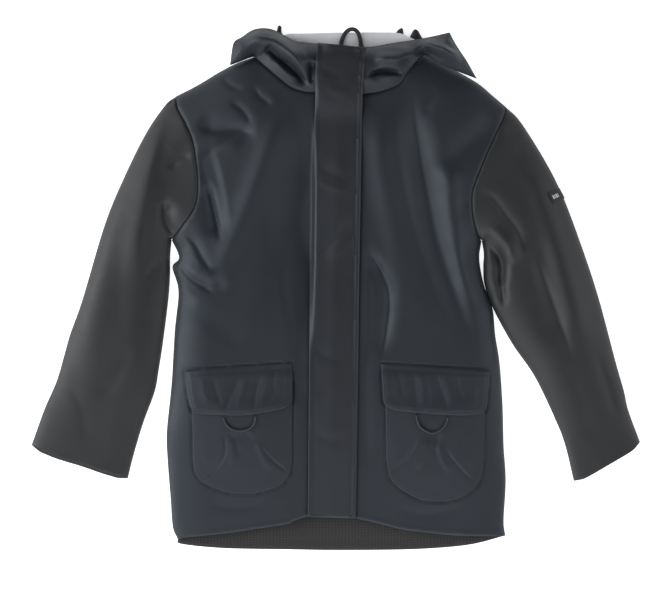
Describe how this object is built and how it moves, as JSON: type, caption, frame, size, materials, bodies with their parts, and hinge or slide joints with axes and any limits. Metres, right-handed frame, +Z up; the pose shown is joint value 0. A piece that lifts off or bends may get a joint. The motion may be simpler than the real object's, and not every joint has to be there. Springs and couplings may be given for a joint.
{
  "type": "kids raincoat",
  "caption": "Child's hooded raincoat in coated cloth, laid flat on its back, with a covered front closing, set-in sleeves and flapped patch pockets.",
  "frame": {"origin": "centre of the laid coat's bounding box, on the surface it lies on", "axes": "+X towards the wearer's left sleeve, +Y from hem to neck, +Z up from the surface, out of the front of the coat"},
  "size_m": [0.6412, 0.5521, 0.0394],
  "materials": {
    "coated_shell": "matte coated knit with a soft satin sheen, dark slate navy",
    "back_knit": "coated outside, dark grey-brown knit inside",
    "lining": "matte white woven lining",
    "tape": "matte woven tape",
    "cord": "matte thin elastic cord",
    "label": "matte woven black label"
  },
  "bodies": {
    "root": {"front_right": "coated_shell", "front_left": "coated_shell", "front_placket": "coated_shell", "sleeve_right": "coated_shell", "sleeve_left": "coated_shell", "sleeve_right_under": "coated_shell", "sleeve_left_under": "coated_shell", "hood_side_right": "coated_shell", "hood_side_left": "coated_shell", "hood_back": "coated_shell", "pocket_right": "coated_shell", "pocket_left": "coated_shell", "flap_right": "coated_shell", "flap_left": "coated_shell", "back_panel": "back_knit", "hood_lining": "lining", "hanger_loop": "tape", "loop_right": "cord", "loop_left": "cord", "sleeve_label": "label"}
  },
  "joints": []
}
